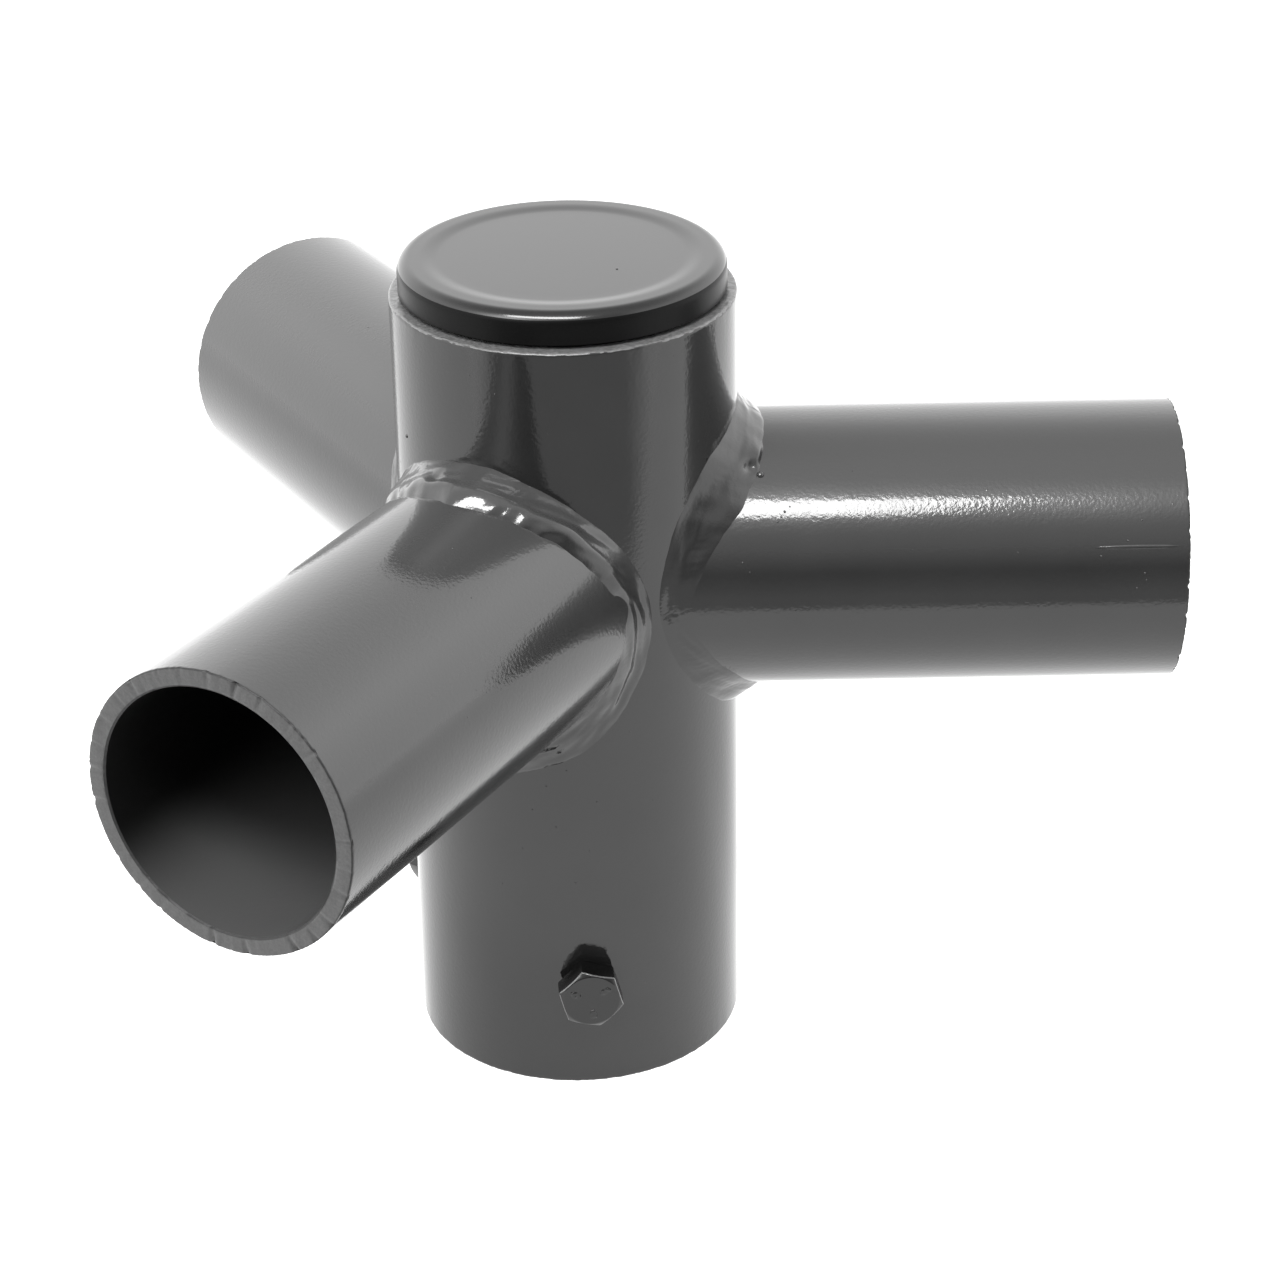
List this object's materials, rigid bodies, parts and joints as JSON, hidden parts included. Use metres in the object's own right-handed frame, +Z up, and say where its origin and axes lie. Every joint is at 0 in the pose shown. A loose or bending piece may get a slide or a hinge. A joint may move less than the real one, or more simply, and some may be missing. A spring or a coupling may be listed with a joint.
{
  "type": "tenon adapter",
  "caption": "Pipe tenon adapter for a lamp pole: a capped sleeve slips over the pole's tenon and carries welded horizontal pipe arms for fixtures, locked by hexagon set screws.",
  "frame": {"origin": "centre of the sleeve's open lower end", "axes": "+Z up along the sleeve, +X out along the right arm"},
  "size_m": [0.2212, 0.2552, 0.1832],
  "materials": {
    "sleeve_paint": "gloss",
    "cap_plastic": "gloss",
    "arm_paint": "gloss",
    "bead_paint": "gloss",
    "screw_paint": "satin"
  },
  "bodies": {
    "root": {"post_sleeve": "sleeve_paint", "end_cap": "cap_plastic", "right_arm_tube": "arm_paint", "right_weld_bead": "bead_paint", "front_arm_tube": "arm_paint", "front_weld_bead": "bead_paint", "back_arm_tube": "arm_paint", "back_weld_bead": "bead_paint", "set_screw_1": "screw_paint", "set_screw_2": "screw_paint", "set_screw_3": "screw_paint"}
  },
  "joints": []
}
